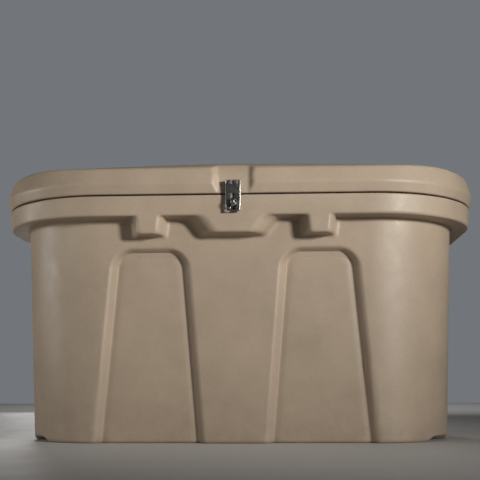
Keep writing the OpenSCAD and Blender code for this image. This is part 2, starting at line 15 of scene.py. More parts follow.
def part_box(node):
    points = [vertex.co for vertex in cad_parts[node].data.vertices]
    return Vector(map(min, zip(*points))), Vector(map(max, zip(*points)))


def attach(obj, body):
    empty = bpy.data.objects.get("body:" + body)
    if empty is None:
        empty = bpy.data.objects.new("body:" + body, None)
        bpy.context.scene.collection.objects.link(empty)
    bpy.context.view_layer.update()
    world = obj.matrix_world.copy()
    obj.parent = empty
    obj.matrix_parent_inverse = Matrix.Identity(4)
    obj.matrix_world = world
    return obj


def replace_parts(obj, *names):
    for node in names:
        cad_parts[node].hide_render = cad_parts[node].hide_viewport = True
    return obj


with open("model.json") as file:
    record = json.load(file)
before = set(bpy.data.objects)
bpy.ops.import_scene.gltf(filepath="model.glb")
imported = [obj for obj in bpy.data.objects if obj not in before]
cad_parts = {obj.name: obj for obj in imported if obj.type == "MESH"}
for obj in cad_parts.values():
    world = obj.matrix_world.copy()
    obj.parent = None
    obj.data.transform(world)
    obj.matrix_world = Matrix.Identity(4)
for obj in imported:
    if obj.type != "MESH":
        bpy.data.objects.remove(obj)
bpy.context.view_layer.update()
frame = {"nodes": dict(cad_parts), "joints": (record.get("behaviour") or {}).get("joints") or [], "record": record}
nodes = frame["nodes"]
joints = {joint["name"]: joint for joint in frame["joints"]}
MM = 0.001

# ---- sizes, from the frame

tub_low, tub_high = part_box("tub")
lid_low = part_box("lid_shell")[0]
HALF = round(tub_high.x, 3)             # half the rim's width
FRONT = round(tub_low.y, 3)             # the rim's front face
BACK = round(tub_high.y, 3)             # the rim's back face
RIM_TOP = tub_high.z
LID_Z = lid_low.z                       # underside of the lid
MID_Y = (FRONT + BACK) / 2

RIM_BOTTOM = RIM_TOP - 49 * MM
RIM_OUT = 51 * MM                       # step from the wall to the rim
RIM_LEAN = 3 * MM
WALL_LEAN = 24 * MM                     # each wall's lean between the rim and the floor
WALL_T = 6.5 * MM
FRONT_R = 280 * MM                      # plan radii over the rim
REAR_R = 120 * MM
WALL_R = FRONT_R - 52 * MM              # the wall keeps one corner radius from rim to floor
WALL_REAR_R = REAR_R - RIM_OUT

BAY_X = 205 * MM                        # middle of each sunk panel and of each rim tab
PANEL_DEPTH = 18 * MM
PANEL_TOP = 462.5 * MM
PANEL_HALF_FLOOR = 131 * MM
PANEL_HALF_TOP = 91 * MM
PANEL_CORNER_R = 48 * MM
PANEL_SLOPE = 14 * MM                   # width of a panel's sloping side
PANEL_TOP_SLOPE = 9 * MM
PANEL_GROOVE = 1.8 * MM                 # the panel's face sinks this much more along the foot of its slopes
PANEL_GROOVE_WIDTH = 9 * MM

# blocks that hang from the rim: half widths under the rim and at the foot, and the spread of their sides
TAB = {"half_top": 26.5 * MM, "half_low": 21 * MM, "drop": 43 * MM, "splay": 12 * MM, "chamfer": 5 * MM}
LANDING = {
    "half_top": 70 * MM, "half_low": 38 * MM, "drop": 40 * MM, "splay": 18 * MM, "chamfer": 20 * MM,
    "sag": 3 * MM,
}
CHAMFER_DEPTH = 0.34                    # share of a block's depth over which its edges are chamfered

CHANNEL_H = 12 * MM                     # channels across the underside
CHANNEL_Y = 103 * MM
CHANNEL_HALF = 58 * MM
CHANNEL_SLANT = 0.7                     # distance across a side that slopes at 45 degrees, per run

BULGE = 8 * MM                          # how far the lid's side swells past the rim
CREASE_Z = LID_Z + 25 * MM
EDGE_Z = LID_Z + 63 * MM
CROWN = 40 * MM
POCKET_LEAN = math.radians(5.7)
POCKET_HALF = 37 * MM                   # the hasp's pocket in the lid: half its width at its floor
POCKET_SPREAD = 1.1                     # how fast it widens on the way out
POCKET_SLANT = 0.67
POCKET_CURVE_R = 47.5 * MM              # its floor runs out over this radius, from the height below
POCKET_CURVE_Z = LID_Z + 36 * MM

COLUMN_SPACING = 22 * MM                # points around the outline, where nothing finer is asked for
CORNER_COLUMNS = 44
MIDDLE_INSET = 285 * MM                 # the innermost loops lie this far in
SHRINK_FROM = 100 * MM                  # inset from which loops shrink towards the middle line
SHRINK_TO = 286 * MM
RAY_STEP = 4 * MM
RAY_HALVINGS = 14


# ---- formulas for the solids

def smooth_min(a, b, k):
    """The lower of a and b, blended over k."""
    h = np.clip(k - np.abs(a - b), 0, None) / k
    return np.minimum(a, b) - h * h * k / 4


def smooth_max(a, b, k):
    """The higher of a and b, blended over k."""
    return -smooth_min(-a, -b, k)


def ramp(t, soft_start, soft_end):
    """0 below 0 and 1 above 1, straight between them with rounded ends."""
    return smooth_min(smooth_max(t, 0.0, soft_start), 1.0, soft_end)


def plan_distance(x, y, inset, front_r, rear_r, rear_inset=None):
    """Distance outside the chest's rounded plan outline, moved in by inset; negative inside it."""
    rear_inset = inset if rear_inset is None else rear_inset
    low, high = FRONT + inset, BACK - rear_inset
    middle, half_y = (low + high) / 2, (high - low) / 2
    r = np.where(y > middle, rear_r, front_r)
    qx = np.abs(x) - (HALF - inset) + r
    qy = np.abs(y - middle) - half_y + r
    outside = np.hypot(np.maximum(qx, 0), np.maximum(qy, 0))
    return np.minimum(np.maximum(qx, qy), 0) + outside - r


def panel_depth(x, z, grow=0.0):
    """How far the two sunk front panels push the wall in."""
    lean = math.atan((PANEL_HALF_FLOOR - PANEL_HALF_TOP) / PANEL_TOP)
    half = PANEL_HALF_FLOOR - z * math.tan(lean)
    side = (np.abs(np.abs(x) - BAY_X) - half) * math.cos(lean) - grow
    top = z - PANEL_TOP - grow
    qx, qy = side + PANEL_CORNER_R, top + PANEL_CORNER_R
    reach = np.hypot(np.maximum(qx, 0), np.maximum(qy, 0))
    distance = np.minimum(np.maximum(qx, qy), 0) + reach - PANEL_CORNER_R
    towards_top = np.clip(np.maximum(qy, 0) / np.maximum(reach, 1e-6), 0, 1)
    width = PANEL_SLOPE + (PANEL_TOP_SLOPE - PANEL_SLOPE) * towards_top
    groove = np.exp(-((distance + width + 3 * MM) / PANEL_GROOVE_WIDTH) ** 2)
    return PANEL_DEPTH * ramp(-distance / width, 0.5, 0.2) + PANEL_GROOVE * groove


def tab_region(x, z, depth, middle, half_top, half_low, drop, splay, chamfer, sag=0.0):
    """Front view of a block that hangs from the rim; depth is 0 at its face and 1 at the wall.
    Its sides spread by the chamfer near its face, and evenly by the splay."""
    low = RIM_BOTTOM - drop - sag * depth
    slope = (half_top - half_low) / drop
    near_face = smooth_min(depth / CHAMFER_DEPTH, 1.0, 0.5)
    half = half_low + (z - low) * slope + splay * depth + chamfer * near_face
    side = (np.abs(np.abs(x) - middle) - half) / math.hypot(1, slope)
    return smooth_max(side, low - z, 9 * MM)


def rim_region(x, y, z):
    """Negative above the rim's lower edge, and inside the tabs and the hasp's landing below it."""
    depth = np.clip((y - FRONT - RIM_LEAN) / (RIM_OUT - RIM_LEAN), 0, 1)
    edge = RIM_BOTTOM - z
    tabs = tab_region(x, z, depth, BAY_X, **TAB)
    landing = tab_region(x, z, depth, 0.0, **LANDING)
    behind = np.where(y < MID_Y, 0.0, 1.0)      # a metre off, so the blocks stay at the front
    region = smooth_min(edge, tabs + behind, 8 * MM)
    return smooth_min(region, landing + behind, 16 * MM)


def channels(y, z, grow=0.0):
    """Negative inside the channels that run across the underside."""
    half = CHANNEL_HALF + grow - np.maximum(z, 0)
    side = (np.abs(np.abs(y - MID_Y) - CHANNEL_Y) - half) * CHANNEL_SLANT
    return smooth_max(side, z - CHANNEL_H - grow, 8 * MM)


def wall_inset(z):
    """How far the tub's wall stands inside the rim's face."""
    return RIM_OUT + WALL_LEAN * (1 - z / RIM_BOTTOM)


def tub_outside(x, y, z):
    """Negative inside the tub's outer form, as if it were solid."""
    sunk = panel_depth(x, z) * (y < 0)
    wall = plan_distance(x, y, wall_inset(z), WALL_R, WALL_REAR_R) + sunk
    face = RIM_LEAN * (RIM_TOP - z) / (RIM_TOP - RIM_BOTTOM)
    rim = plan_distance(x, y, face, FRONT_R, REAR_R)
    rim = smooth_max(rim, rim_region(x, y, z), 7 * MM)
    body = smooth_min(wall, rim, 9 * MM)
    body = smooth_max(body, z - RIM_TOP, 3.5 * MM)
    body = smooth_max(body, -z, 9 * MM)
    return smooth_max(body, -channels(y, z), 6 * MM)


def tub_inside(x, y, z):
    """Positive outside the tub's hollow."""
    sunk = panel_depth(x, z, WALL_T) * (y < 0)
    wall = plan_distance(x, y, wall_inset(z) + WALL_T, WALL_R - WALL_T, WALL_REAR_R - WALL_T) + sunk
    hollow = smooth_max(wall, WALL_T - z, 22 * MM)
    return smooth_max(hollow, -channels(y, z, WALL_T), 12 * MM)


def crown_z(x, y):
    """Height of the lid's crowned top."""
    along = 1 - (x / (HALF + 10 * MM)) ** 2
    across = 1 - np.abs((y - MID_Y) / ((BACK - FRONT) / 2)) ** 4
    return EDGE_Z + CROWN * along * across


def lid_inset(z):
    """The lid's side swells out to its crease, then leans in to the edge of the top."""
    rise = (z - LID_Z) / (CREASE_Z - LID_Z)
    swell = -BULGE * np.minimum(rise, 1.5)
    lean_in = -BULGE + 9 * MM * (z - CREASE_Z) / (EDGE_Z - CREASE_Z)
    return smooth_max(swell, lean_in, 2.5 * MM)


def lid_pocket(x, y, z):
    """Negative inside the pocket that the hasp stands in."""
    above = np.clip(z - POCKET_CURVE_Z, 0, None)
    floor_y = FRONT + 1 * MM + (z - LID_Z) * math.tan(POCKET_LEAN) + above ** 2 / (2 * POCKET_CURVE_R)
    out = floor_y - y
    side = (np.abs(x) - POCKET_HALF - out * POCKET_SPREAD) * POCKET_SLANT
    return smooth_max(-out, side, 3 * MM)


def lid_outside(x, y, z):
    """Negative inside the lid's outer form, as if it were solid."""
    inset = lid_inset(z)
    rear_inset = np.clip(inset, 0.0, None)
    side = plan_distance(x, y, inset, FRONT_R - inset, REAR_R - np.clip(inset, -BULGE, 0), rear_inset)
    body = smooth_max(side, z - crown_z(x, y), 6 * MM)
    body = smooth_max(body, -lid_pocket(x, y, z), 4 * MM)
    return smooth_max(body, LID_Z - z, 3 * MM)


# ---- meshes from rays

def arc(cx, cy, r, start, end, count):
    """Points on a round corner, and the direction to its centre at each."""
    angles = np.radians(np.linspace(start, end, count))
    normals = np.stack([np.cos(angles), np.sin(angles)], 1)
    return np.array([cx, cy]) + r * normals, -normals


def straight(start, end, spacing, inward):
    """Points from start to end; spacing maps a point to its wanted distance from the next one."""
    start, end = np.array(start), np.array(end)
    length = np.linalg.norm(end - start)
    steps, travelled = [0.0], 0.0
    while travelled < length:
        travelled += spacing(start + (end - start) * travelled / length)
        steps.append(travelled)
    steps = np.array(steps) / steps[-1]
    points = start + (end - start) * steps[:, None]
    return points, np.tile(inward, (len(points), 1))


def columns(front_spacing, corner_count):
    """Points around the rim's outline and the direction inwards at each, from the right side by the front."""
    x_front, y_front = HALF - FRONT_R, FRONT + FRONT_R
    x_rear, y_rear = HALF - REAR_R, BACK - REAR_R

    def plain_spacing(point):
        return COLUMN_SPACING

    pieces = [
        straight((HALF, y_rear), (HALF, y_front), plain_spacing, (-1.0, 0.0)),
        arc(x_front, y_front, FRONT_R, 0, -90, corner_count),
        straight((x_front, FRONT), (-x_front, FRONT), front_spacing, (0.0, 1.0)),
        arc(-x_front, y_front, FRONT_R, -90, -180, corner_count),
        straight((-HALF, y_front), (-HALF, y_rear), plain_spacing, (1.0, 0.0)),
        arc(-x_rear, y_rear, REAR_R, 180, 90, corner_count // 2),
        straight((-x_rear, BACK), (x_rear, BACK), plain_spacing, (0.0, -1.0)),
        arc(x_rear, y_rear, REAR_R, 90, 0, corner_count // 2),
    ]
    points = np.concatenate([p[:-1] for p, n in pieces])
    inward = np.concatenate([n[:-1] for p, n in pieces])
    return points, inward


def left_end(points):
    """The number of the column at the left end of the middle line."""
    return int(np.argmin(points[:, 0] + np.abs(points[:, 1] - MID_Y) * 0.01))


def moved_in(points, inward, inset):
    """The outline moved in; far in, past the rear corners' centres, it shrinks towards a middle line."""
    near = points + inward * min(inset, SHRINK_FROM)
    if inset <= SHRINK_FROM:
        return near
    share = (inset - SHRINK_FROM) / (SHRINK_TO - SHRINK_FROM)
    spine = np.column_stack([np.clip(near[:, 0], FRONT_R - HALF, HALF - FRONT_R), np.full(len(near), MID_Y)])
    return near + (spine - near) * share


def cast(solid, points, inward, rays, reach):
    """Where each column's rays meet the solid. A ray is (inset, height, run inwards, rise)."""
    inset, height, run, rise = (np.array(v)[:, None] for v in zip(*rays))
    scale = np.hypot(run, rise)
    run, rise = run / scale, rise / scale
    upright = run[:, 0] == 0
    starts = np.array([
        moved_in(points, inward, d) if up else points + inward * d for d, up in zip(inset[:, 0], upright)
    ])
    start_x, start_y = starts[:, :, 0], starts[:, :, 1]
    start_z = np.broadcast_to(height, start_x.shape)
    way = (inward[:, 0] * run, inward[:, 1] * run, np.broadcast_to(rise, start_x.shape))

    def at(t):
        return start_x + way[0] * t, start_y + way[1] * t, start_z + way[2] * t

    near = np.zeros(start_x.shape)
    found = np.zeros(start_x.shape, bool)
    for k in range(int(reach / RAY_STEP)):
        inside = solid(*at(near + RAY_STEP)) < 0
        found |= inside
        near = np.where(found, near, near + RAY_STEP)
    far = near + RAY_STEP
    for k in range(RAY_HALVINGS):
        middle = (near + far) / 2
        inside = solid(*at(middle)) < 0
        far = np.where(inside, middle, far)
        near = np.where(inside, near, middle)
    return np.stack(at(far), -1)


def in_mm(pairs, base=0.0):
    """Pairs of (inset or radius, rise or distance) in mm, as metres; the second counts from the base."""
    return [(a * MM, base + b * MM) for a, b in pairs]


def profile(points, inward, steps):
    """Loops at given (inset, height) steps around the outline."""
    return np.array([
        np.column_stack([moved_in(points, inward, inset), np.full(len(points), height)])
        for inset, height in steps
    ])


def zip_halves(loop, coords, split, flip):
    """Closes a loop with triangles between its front half and its back half."""
    front = list(loop[:split + 1])
    rear = [loop[0]] + list(loop[:split - 1:-1])
    faces, i, j = [], 0, 0
    while i < len(front) - 1 or j < len(rear) - 1:
        take_front = j == len(rear) - 1
        if i < len(front) - 1 and not take_front:
            take_front = coords[front[i + 1]][0] > coords[rear[j + 1]][0]
        tip = front[i + 1] if take_front else rear[j + 1]
        face = (front[i], tip, rear[j])
        if len(set(face)) == 3:
            faces.append(face[::-1] if flip else face)
        i, j = (i + 1, j) if take_front else (i, j + 1)
    return faces


def skin(name, loops, slot, body, split=None):
    """One closed mesh from a stack of loops: zipped shut at both ends, or a hoop without a split.
    The sides are smooth and the zipped ends flat."""
    count = loops.shape[1]
    coords = loops.reshape(-1, 3)
    faces = []
    rows = len(loops) - 1 if split else len(loops)
    for k in range(rows):
        a, b = k * count, (k + 1) % len(loops) * count
        for i in range(count):
            j = (i + 1) % count
            faces.append((a + i, b + i, b + j, a + j))
    around = len(faces)
    if split:
        last = (len(loops) - 1) * count
        faces += zip_halves(range(count), coords, split, False)
        faces += zip_halves(range(last, last + count), coords, split, True)
    mesh = bpy.data.meshes.new(name)
    mesh.from_pydata(coords.tolist(), [], faces)
    mesh.polygons.foreach_set("use_smooth", [True] * around + [False] * (len(faces) - around))
    mesh.validate()
    mesh.update()
    return place(name, mesh, slot, body)


def in_scene(name, data):
    thing = bpy.data.objects.new(name, data)
    bpy.context.scene.collection.objects.link(thing)
    return thing


def place(name, mesh, slot, body, material=None):
    """Puts a mesh into the scene as a piece that rides on a body, in its slot's material or another."""
    mesh.materials.append(material or paint[slot])
    piece = in_scene(name, mesh)
    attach(piece, body)
    return piece


def turn(inset, height, start, end, count, radius=40 * MM):
    """Rays that turn about a point just inside an edge, from the angle start to end, in degrees."""
    rays = []
    for angle in np.radians(np.linspace(start, end, count)):
        run, rise = math.cos(angle), math.sin(angle)
        rays.append((inset - radius * run, height - radius * rise, run, rise))
    return rays


# ---- materials

MIX_A, MIX_B, MIX_RESULT = 6, 7, 2      # the Mix node's colour sockets, which share their names


class Shader:
    """A material's node tree around its Principled shader."""

    def __init__(self, name, **settings):
        self.material = bpy.data.materials.new(name)
        self.material.use_nodes = True
        self.nodes = self.material.node_tree.nodes
        self.links = self.material.node_tree.links
        self.surface = self.nodes["Principled BSDF"]
        for socket, value in settings.items():
            self.surface.inputs[socket.replace("_", " ")].default_value = value
        self.where = self.add("TexCoord").outputs["Object"]

    def feed(self, socket, value):
        """Sets a socket to a number or a colour, or links an output to it."""
        if isinstance(value, (int, float)):
            socket.default_value = value
        elif isinstance(value, tuple):
            socket.default_value = (*value, 1.0)
        else:
            self.links.new(value, socket)

    def add(self, kind, **inputs):
        """A new node with the named inputs fed."""
        node = self.nodes.new("ShaderNode" + kind)
        for name, value in inputs.items():
            self.feed(node.inputs[name.replace("_", " ")], value)
        return node

    def noise(self, scale, detail=2.0, roughness=0.5, stretch=None):
        where = self.where
        if stretch:
            mapping = self.add("Mapping", Vector=where)
            mapping.inputs["Scale"].default_value = stretch
            where = mapping.outputs["Vector"]
        node = self.add("TexNoise", Scale=scale, Detail=detail, Roughness=roughness, Vector=where)
        return node.outputs["Fac"]

    def cells(self, scale):
        return self.add("TexVoronoi", Scale=scale, Vector=self.where).outputs["Distance"]

    def height(self):
        return self.add("SeparateXYZ", Vector=self.where).outputs["Z"]

    def spread(self, source, low, high, to_low=0.0, to_high=1.0):
        node = self.add("MapRange", Value=source, From_Min=low, From_Max=high, To_Min=to_low, To_Max=to_high)
        return node.outputs["Result"]

    def times(self, a, b):
        node = self.add("Math")
        node.operation = "MULTIPLY"
        self.feed(node.inputs[0], a)
        self.feed(node.inputs[1], b)
        return node.outputs["Value"]

    def blend(self, factor, a, b):
        node = self.add("Mix")
        node.data_type = "RGBA"
        self.feed(node.inputs["Factor"], factor)
        self.feed(node.inputs[MIX_A], a)
        self.feed(node.inputs[MIX_B], b)
        return node.outputs[MIX_RESULT]

    def bump(self, source, distance, strength=1.0, under=None):
        node = self.add("Bump", Strength=strength, Distance=distance, Height=source)
        if under:
            self.links.new(under, node.inputs["Normal"])
        return node.outputs["Normal"]

    def colour(self, source):
        self.links.new(source, self.surface.inputs["Base Color"])

    def roughness(self, source):
        self.links.new(source, self.surface.inputs["Roughness"])

    def normal(self, source):
        self.links.new(source, self.surface.inputs["Normal"])


def srgb(r, g, b):
    """A colour given in 0-255 screen values, as scene-linear numbers."""
    def linear(v):
        v /= 255
        return v / 12.92 if v <= 0.04045 else ((v + 0.055) / 1.055) ** 2.4
    return linear(r), linear(g), linear(b)


def moulded_plastic(name, base, darker_low=True):
    """Rotationally moulded polyethylene: waxy, with a fine orange peel, faint mottling and a patchy darkening low
    down.
    """
    s = Shader(name, Specular_IOR_Level=0.42)
    dark = tuple(v * 0.90 for v in base)
    light = tuple(min(v * 1.10, 1.0) for v in base)
    mottle = s.spread(s.noise(7.0, 4.0, 0.6), 0.3, 0.7)
    tone = s.blend(mottle, dark, light)
    speck = s.spread(s.noise(420.0, 2.0, 0.7), 0.35, 0.68)
    tone = s.blend(s.times(speck, 0.35), tone, tuple(v * 0.74 for v in base))
    pale = s.spread(s.noise(260.0, 1.0, 0.5), 0.62, 0.78)
    tone = s.blend(s.times(pale, 0.22), tone, tuple(min(v * 1.35, 1.0) for v in base))
    # patchy, greyer and darker towards the bottom of the part
    if darker_low:
        low = s.spread(s.height(), 0.0, 0.16, 1.0, 0.0)
        patchy = s.spread(s.noise(16.0, 5.0, 0.65), 0.35, 0.75)
        low_darkening = s.times(s.times(low, patchy), 0.35)
        tone = s.blend(low_darkening, tone, srgb(118, 108, 94))
    s.colour(tone)
    s.roughness(s.spread(s.noise(24.0, 4.0, 0.6), 0.25, 0.75, 0.40, 0.54))
    peel = s.bump(s.noise(230.0, 2.0, 0.55), 0.35 * MM, 0.55)
    wave = s.bump(s.noise(38.0, 1.0, 0.4), 0.8 * MM, 0.30, under=peel)
    s.normal(wave)
    return s.material


def brushed_steel(name, base, rough, stretch):
    """Stainless steel with fine scratches along one direction and dull handling marks."""
    s = Shader(name, Metallic=1.0)
    scratch = s.noise(60.0, 6.0, 0.75, stretch=stretch)
    marks = s.spread(s.noise(90.0, 3.0, 0.6), 0.35, 0.7)
    tone = s.blend(s.spread(scratch, 0.3, 0.7), tuple(v * 0.80 for v in base), base)
    s.colour(s.blend(s.times(marks, 0.35), tone, tuple(v * 0.62 for v in base)))
    s.roughness(s.spread(marks, 0.0, 1.0, rough, rough + 0.14))
    s.normal(s.bump(scratch, 0.05 * MM, 0.5))
    return s.material


def rubber(name, base, rough=0.62):
    s = Shader(name, Specular_IOR_Level=0.35)
    s.colour(s.blend(s.spread(s.noise(110.0, 3.0), 0.35, 0.7), base, tuple(v * 1.9 for v in base)))
    s.roughness(s.spread(s.noise(70.0, 3.0), 0.3, 0.7, rough, rough + 0.15))
    s.normal(s.bump(s.noise(900.0, 1.0), 0.08 * MM, 0.5))
    return s.material


def black_paint(name):
    """Semi-gloss black paint with a faint orange peel and pale wear."""
    s = Shader(name, Coat_Weight=0.35, Coat_Roughness=0.22)
    worn = s.spread(s.noise(140.0, 5.0, 0.7), 0.66, 0.74)
    s.colour(s.blend(s.times(worn, 0.5), (0.012, 0.012, 0.013), (0.10, 0.10, 0.10)))
    s.roughness(s.spread(s.noise(60.0, 2.0), 0.3, 0.7, 0.30, 0.42))
    s.normal(s.bump(s.noise(500.0, 1.0), 0.05 * MM, 0.4))
    return s.material


def chrome_rod(name):
    s = Shader(name, Metallic=1.0)
    haze = s.noise(300.0, 3.0, stretch=(1.0, 1.0, 0.06))
    s.colour(s.blend(s.spread(haze, 0.3, 0.7), (0.62, 0.63, 0.65), (0.78, 0.79, 0.80)))
    s.roughness(s.spread(haze, 0.3, 0.7, 0.06, 0.16))
    return s.material


def foam(name):
    s = Shader(name, Specular_IOR_Level=0.2, Roughness=0.9)
    cell = s.cells(260.0)
    s.colour(s.blend(s.spread(cell, 0.0, 0.6), (0.80, 0.78, 0.70), (0.62, 0.60, 0.53)))
    s.normal(s.bump(cell, 0.6 * MM, 0.6))
    return s.material


TAN = srgb(176, 158, 138)
paint = {
    "tub_plastic": moulded_plastic("tan tub", TAN),
    "lid_plastic": moulded_plastic("tan lid", TAN, darker_low=False),
    "foam": foam("lid foam"),
    "seal_rubber": rubber("seal rubber", (0.010, 0.010, 0.011)),
    "hinge_steel": brushed_steel("hinge steel", (0.56, 0.56, 0.55), 0.26, (0.06, 1.0, 1.0)),
    "hasp_steel": brushed_steel("hasp steel", (0.42, 0.42, 0.41), 0.24, (1.0, 1.0, 0.08)),
    "screw_steel": brushed_steel("screw steel", (0.60, 0.60, 0.59), 0.22, (1.0, 1.0, 1.0)),
    "bracket_steel": brushed_steel("bracket steel", (0.55, 0.55, 0.54), 0.28, (1.0, 1.0, 0.1)),
    "drain_plastic": rubber("drain nylon", (0.018, 0.018, 0.019), 0.42),
    "strut_plastic": rubber("strut nylon", (0.016, 0.016, 0.017), 0.40),
    "strut_paint": black_paint("strut paint"),
    "rod_chrome": chrome_rod("rod chrome"),
}

# two copies of the hasp steel with light painted into their colour: a lighter one with a painted highlight and a
# near black one with painted shade
highlight_painted_steel = brushed_steel("bright hasp steel", (0.74, 0.73, 0.71), 0.34, (1.0, 1.0, 0.3))
shade_painted_steel = brushed_steel("dull hasp steel", (0.10, 0.10, 0.10), 0.42, (1.0, 1.0, 0.3))

for part in frame["record"]["subparts"]:
    node = nodes[part["node"]]
    node.data.materials.clear()
    node.data.materials.append(paint[part["material_slot"]])


# ---- tub

def front_spacing_tub(point):
    """Closer columns where the sides of the tabs, the landing and the panels are."""
    x = abs(point[0])
    on_tab_side = 15 * MM < abs(x - BAY_X) < 48 * MM
    on_landing_side = 32 * MM < x < 112 * MM
    on_panel_side = 70 * MM < abs(x - BAY_X)
    return 2.1 * MM if on_tab_side or on_landing_side or on_panel_side else 4 * MM


def spaced(low, high, step):
    """Evenly spaced numbers from low to high, about a step apart."""
    return np.linspace(low, high, max(2, int(round((high - low) / step)) + 1))


def make_tub():
    points, inward = columns(front_spacing_tub, CORNER_COLUMNS)
    split = left_end(points)
    outside = 60 * MM                   # rays start this far outside the rim
    level_to, tilted_from, tilted_to, level_from = 385 * MM, 425 * MM, 561 * MM, 572 * MM
    # up under the floor, round the foot and up the wall, tilting up to look in under the rim
    rays = [(inset, -30 * MM, 0.0, 1.0) for inset in spaced(MIDDLE_INSET, 100 * MM, 14 * MM)]
    rays += turn(98 * MM, 16 * MM, 84, 0, 12, 130 * MM)
    rays += [(-outside, z, 1.0, 0.0) for z in spaced(20 * MM, level_to, 9 * MM)]
    for tilt in spaced(0.03, 1.0, 0.034):
        target = level_to + (tilted_from - level_to) * tilt
        rays.append((-outside, target - outside * tilt, 1.0, tilt))
    for target in spaced(tilted_from + 2 * MM, tilted_to - 1 * MM, 2.5 * MM):
        rays.append((-outside, target - outside, 1.0, 1.0))
    # level again on the rim's face, over its edge and in across its top
    for tilt in spaced(0.9, 0.0, 0.15):
        target = level_from + (tilted_to - level_from) * tilt
        rays.append((-outside, target - outside * tilt, 1.0, tilt))
    rays += turn(8 * MM, RIM_TOP - 8 * MM, -10, -90, 9)
    rays += [(inset, RIM_TOP + 30 * MM, 0.0, -1.0) for inset in (14 * MM, 20 * MM, 26 * MM)]
    shell = cast(tub_outside, points, inward, rays, 320 * MM)

    # down over the rim's inner edge, and round the hollow inside the rim
    edge = [(28.5, -0.3), (29.6, -1.3), (30, -3), (29.6, -5.2), (28.5, -6.2), (20, -6.5), (12, -9), (10, -14)]
    hollow = [(11, 12), (15, 7.5), (22, 6.5), (48, 6.5), (53, 5.6), (56, 3)]
    lip = profile(points, inward, in_mm(edge, RIM_TOP) + in_mm(hollow, RIM_BOTTOM))
    deep = 170 * MM                     # rays start this far inside, and run out to the wall
    foot_in, foot_z = 98 * MM, 60 * MM  # from here they turn down to the floor
    rays = [(deep, z, -1.0, 0.0) for z in spaced(RIM_BOTTOM - 4 * MM, 400 * MM, 9 * MM)]
    rays += [(deep, z, -1.0, 0.0) for z in spaced(388 * MM, 36 * MM, 20 * MM)]
    rays += [(foot_in, foot_z, -math.cos(a), -math.sin(a)) for a in np.radians(np.linspace(20, 84, 9))]
    rays += [(inset, foot_z, 0.0, -1.0) for inset in spaced(foot_in, MIDDLE_INSET, 17 * MM)]
    room = cast(lambda x, y, z: -tub_inside(x, y, z), points, inward, rays, 260 * MM)
    loops = np.concatenate([shell, lip, room])
    piece = skin("tub_skin", loops, "tub_plastic", "tub", split)
    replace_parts(piece, "tub")


# ---- lid

def front_spacing_lid(point):
    """Closer columns where the hasp's pocket is."""
    return 2.2 * MM if abs(point[0]) < 75 * MM else 9 * MM


def make_lid():
    points, inward = columns(front_spacing_lid, CORNER_COLUMNS)
    split = left_end(points)
    hidden = LID_Z + 3 * MM             # this far up the underside is behind the liner
    under = profile(points, inward, [
        (MIDDLE_INSET, hidden), (150 * MM, hidden), (60 * MM, hidden), (12 * MM, hidden),
        (8.2 * MM, hidden), (7.8 * MM, LID_Z + 0.6 * MM),
    ])
    rays = [(inset, LID_Z - 20 * MM, 0.0, 1.0) for inset in (7 * MM, 6 * MM, 5 * MM)]
    rays += turn(5.5 * MM, LID_Z + 4.5 * MM, 75, 0, 7, 20 * MM)
    rays += [(-30 * MM, z, 1.0, 0.0) for z in spaced(LID_Z + 6 * MM, EDGE_Z - 22 * MM, 2.2 * MM)]
    rays += turn(50 * MM, EDGE_Z - 20 * MM, -1, -76, 34, 110 * MM)
    rays += [(inset, EDGE_Z + 80 * MM, 0.0, -1.0) for inset in spaced(64 * MM, MIDDLE_INSET, 13 * MM)]
    shell = cast(lid_outside, points, inward, rays, 170 * MM)
    piece = skin("lid_skin", np.concatenate([under, shell]), "lid_plastic", "lid", split)
    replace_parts(piece, "lid_shell")


HIDDEN_CORNER_COLUMNS = 36              # fewer columns for what the closed lid hides


def hidden_spacing(point):
    return 12 * MM


def make_liner():
    """The lid's inner skin: a lip that hangs inside the rim, and a shallow sunk field."""
    points, inward = columns(hidden_spacing, HIDDEN_CORNER_COLUMNS)
    split = left_end(points)
    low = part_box("lid_liner")[1].z - 6 * MM
    back = [(285, 6), (150, 6), (60, 6), (9, 6), (8, 5.6), (8, 0.6), (8.6, 0), (20, 0), (31.4, 0)]
    lip = [(32.6, -0.7), (33, -2.4), (33.1, -12.6), (33.7, -14.3), (34.8, -15), (37.2, -15)]
    lip += [(38.3, -14.3), (38.9, -12.6), (39, -2.6), (39.6, -0.8), (41, 0), (60, 0), (90, 0), (118, 0)]
    field = [(121, 0.3), (124, 1.6), (127, 3.8), (129.5, 5), (132.5, 5.3)]
    field += [(inset, 5.3) for inset in (170, 220, 275, 285)]
    loops = profile(points, inward, in_mm(back + lip + field, low))
    piece = skin("lid_liner_skin", loops, "lid_plastic", "lid", split)
    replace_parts(piece, "lid_liner")


def make_seal():
    """A moulded strip with two rounded ridges that the lid presses on."""
    points, inward = columns(hidden_spacing, HIDDEN_CORNER_COLUMNS)
    seal_low, seal_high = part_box("weather_seal")
    low, high = seal_low.z, seal_high.z
    middle, half_width = 18 * MM, 6 * MM
    loops = []
    for share in np.linspace(-1, 1, 17):
        ridge = abs(math.sin(math.pi * share)) ** 0.7
        rise = 0.45 + 0.55 * ridge if abs(share) < 1 else 0.25
        loops.append((middle + share * half_width, low + (high - low) * rise))
    loops += [(middle + half_width, low + 0.05 * MM), (middle - half_width, low + 0.05 * MM)]
    piece = skin("weather_seal_strip", profile(points, inward, loops), "seal_rubber", "tub")
    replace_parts(piece, "weather_seal")


make_tub()
make_lid()
make_liner()
make_seal()


# ---- hasp

def sew(bm, rings):
    """Joins rings of points, all with the same count, into a closed solid with a cap at each end."""
    count = len(rings[0])
    for low, high in zip(rings, rings[1:]):
        for i in range(count):
            j = (i + 1) % count
            bm.faces.new((low[i], low[j], high[j], high[i]))
    bm.faces.new(rings[0][::-1])
    bm.faces.new(rings[-1])


def prism(bm, outline, stations):
    """Adds a closed solid: the outline placed by each station's function."""
    sew(bm, [[bm.verts.new(station(a, b)) for a, b in outline] for station in stations])


